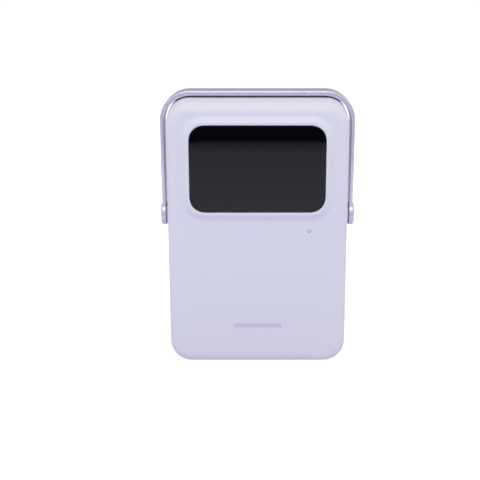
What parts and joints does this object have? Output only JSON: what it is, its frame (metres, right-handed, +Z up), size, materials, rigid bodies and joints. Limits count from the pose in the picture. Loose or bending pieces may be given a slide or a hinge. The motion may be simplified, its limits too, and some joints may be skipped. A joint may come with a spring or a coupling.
{
  "type": "power bank",
  "caption": "Pocket power bank with rounded corners, a dark display in a raised surround, and a thin swinging handle that carries it and props it up.",
  "frame": {"origin": "middle of the flat base that the power bank stands on, midway between its sides and between its front and rear faces", "axes": "+Z up from the base, -Y out of the display, +X out of the side with the button and the sockets; the handle's pivot axis runs along X"},
  "size_m": [0.0744, 0.0272, 0.1049],
  "materials": {
    "soft_touch_shell": "matte soft-touch paint over moulded plastic, pale lavender, very fine grain",
    "handle_metal": "satin anodised aluminium strap, darker lavender with a soft sheen",
    "button_plastic": "satin moulded plastic, darker lavender",
    "bush_plastic": "moulded nylon, darker lavender",
    "smoked_window": "hard-coated smoked acrylic, near black, mirror gloss",
    "clear_plastic": "milky light-guide plastic",
    "black_plastic": "black moulded plastic",
    "black_foam": "black closed-cell foam and tape",
    "steel": "plain spring and pressed steel",
    "nickel_steel": "nickel-plated pressed steel",
    "circuit_board": "green solder mask on glass-epoxy board",
    "cell_foil": "silver pouch foil",
    "flex_film": "amber polyimide ribbon",
    "red_wire": "red silicone insulation",
    "black_wire": "black silicone insulation"
  },
  "bodies": {
    "body": {"front_shell": "soft_touch_shell", "rear_cover": "soft_touch_shell", "display_window": "smoked_window", "display_gasket": "black_foam", "display_panel": "black_plastic", "display_backplate": "steel", "display_flex": "flex_film", "status_light_pipe": "clear_plastic", "status_led": "black_plastic", "main_board": "circuit_board", "usb_a_shell": "nickel_steel", "usb_a_tongue": "black_plastic", "usb_c_shell": "nickel_steel", "usb_c_tongue": "black_plastic", "power_switch": "black_plastic", "controller_chip": "black_plastic", "power_inductor": "black_plastic", "filter_capacitor": "cell_foil", "rear_cell": "cell_foil", "front_cell": "cell_foil", "cell_tape": "black_foam", "rear_foam_pad": "black_foam", "protection_board": "circuit_board", "battery_lead_positive": "red_wire", "battery_lead_negative": "black_wire", "front_cell_positive_tab": "nickel_steel", "front_cell_negative_tab": "nickel_steel", "rear_cell_positive_tab": "nickel_steel", "rear_cell_negative_tab": "nickel_steel", "lower_board_screw": "steel", "upper_board_screw": "steel", "right_pivot_bush": "bush_plastic", "left_pivot_bush": "bush_plastic"},
    "handle": {"handle": "handle_metal", "right_pivot_pin": "steel", "right_friction_washer": "steel", "right_retaining_clip": "steel", "left_pivot_pin": "steel", "left_friction_washer": "steel", "left_retaining_clip": "steel"},
    "button": {"power_button": "button_plastic"}
  },
  "joints": [
    {"name": "handle_swing", "type": "hinge", "parent": "body", "child": "handle", "pos_m": [0, 0, 0.0571], "axis": [1, 0, 0], "range_deg": [-155, 155]},
    {"name": "power_button_press", "type": "slide", "parent": "body", "child": "button", "axis": [-1, 0, 0], "range_m": [0, 0.0004], "stiffness_N_per_m": 800, "springref_m": -0.0005}
  ]
}
